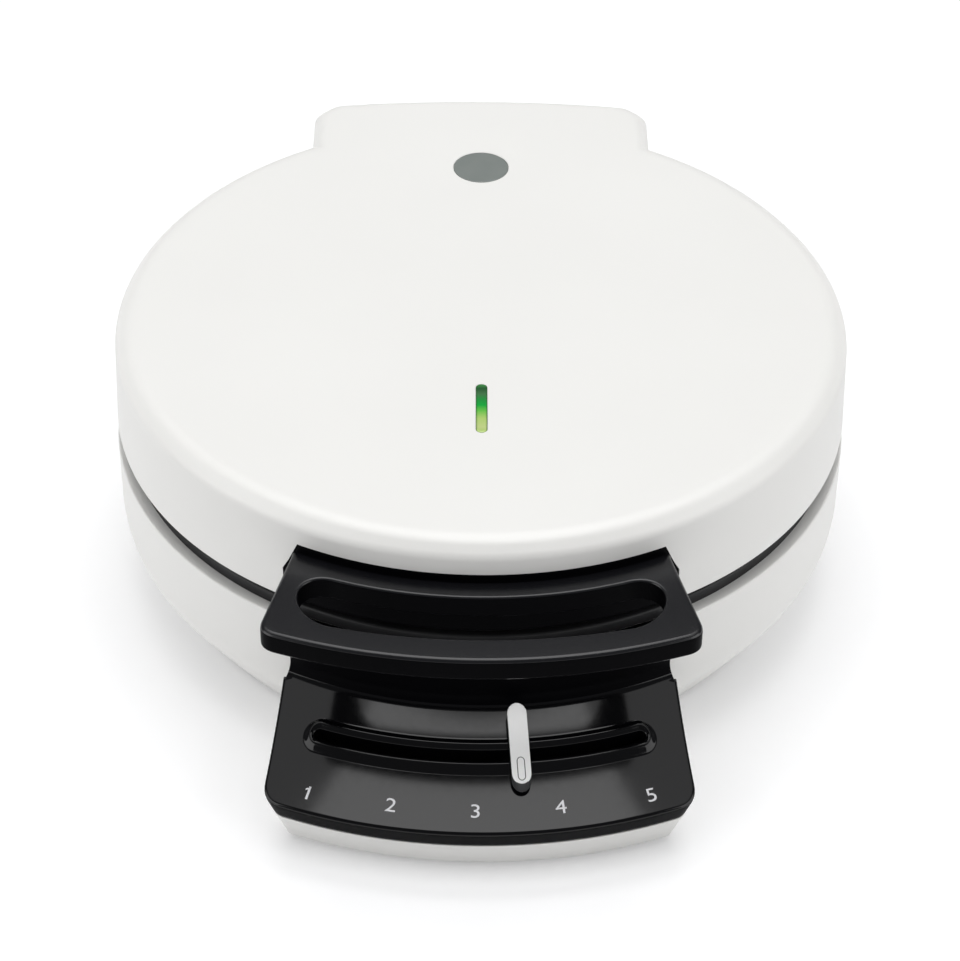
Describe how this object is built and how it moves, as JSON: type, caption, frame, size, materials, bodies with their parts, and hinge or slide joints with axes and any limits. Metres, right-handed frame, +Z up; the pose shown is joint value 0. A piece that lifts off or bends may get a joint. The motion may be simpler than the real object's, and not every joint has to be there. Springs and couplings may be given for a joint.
{
  "type": "heart waffle maker",
  "caption": "Round countertop waffle maker with hinged white lid, heart-shaped cooking plates, black loop handle and a black sloping deck with a sliding heat lever.",
  "frame": {"origin": "centre of the bounding box at the underside of the feet, with the lid shut", "axes": "+Z up, -Y towards the handle and control deck, +X to the right seen from the front, the lid's hinge at +Y"},
  "size_m": [0.248, 0.304, 0.1014],
  "materials": {
    "white_shell": "satin",
    "black_gloss": "polished",
    "black_bezel": "satin",
    "nonstick": "matte",
    "steel": "satin",
    "silver_knob": "brushed",
    "rubber": "matte",
    "ceramic": "matte",
    "lens": "polished",
    "lamp": "polished"
  },
  "bodies": {
    "base": {"base_housing": "white_shell", "control_cover": "black_gloss", "rubber_feet": "rubber", "cord_gland": "rubber", "lower_plate": "nonstick", "lower_heating_element": "steel", "lower_heat_shield": "steel", "thermostat": "ceramic", "thermostat_bracket": "steel", "thermal_fuse": "steel", "terminal_block": "ceramic", "hinge_pins": "steel"},
    "slider": {"slider_knob": "silver_knob", "slider_lever": "steel", "thermostat_shaft": "steel"},
    "lid": {"lid_housing": "white_shell", "handle": "black_gloss", "upper_plate": "nonstick", "upper_heating_element": "steel", "upper_heat_shield": "steel", "upper_thermal_fuse": "steel", "lamp_lens": "lens", "lamp_holder": "black_bezel", "indicator_lamp": "lamp"}
  },
  "joints": [
    {"name": "lid_hinge", "type": "hinge", "parent": "base", "child": "lid", "pos_m": [0, 0.14065, 0.063], "axis": [-1, 0, 0], "range_deg": [0, 100]},
    {"name": "slider_pivot", "type": "hinge", "parent": "base", "child": "slider", "pos_m": [0, 0.01305, 0.023], "axis": [0, 0, 1], "range_deg": [-24.6, 14.8]}
  ]
}
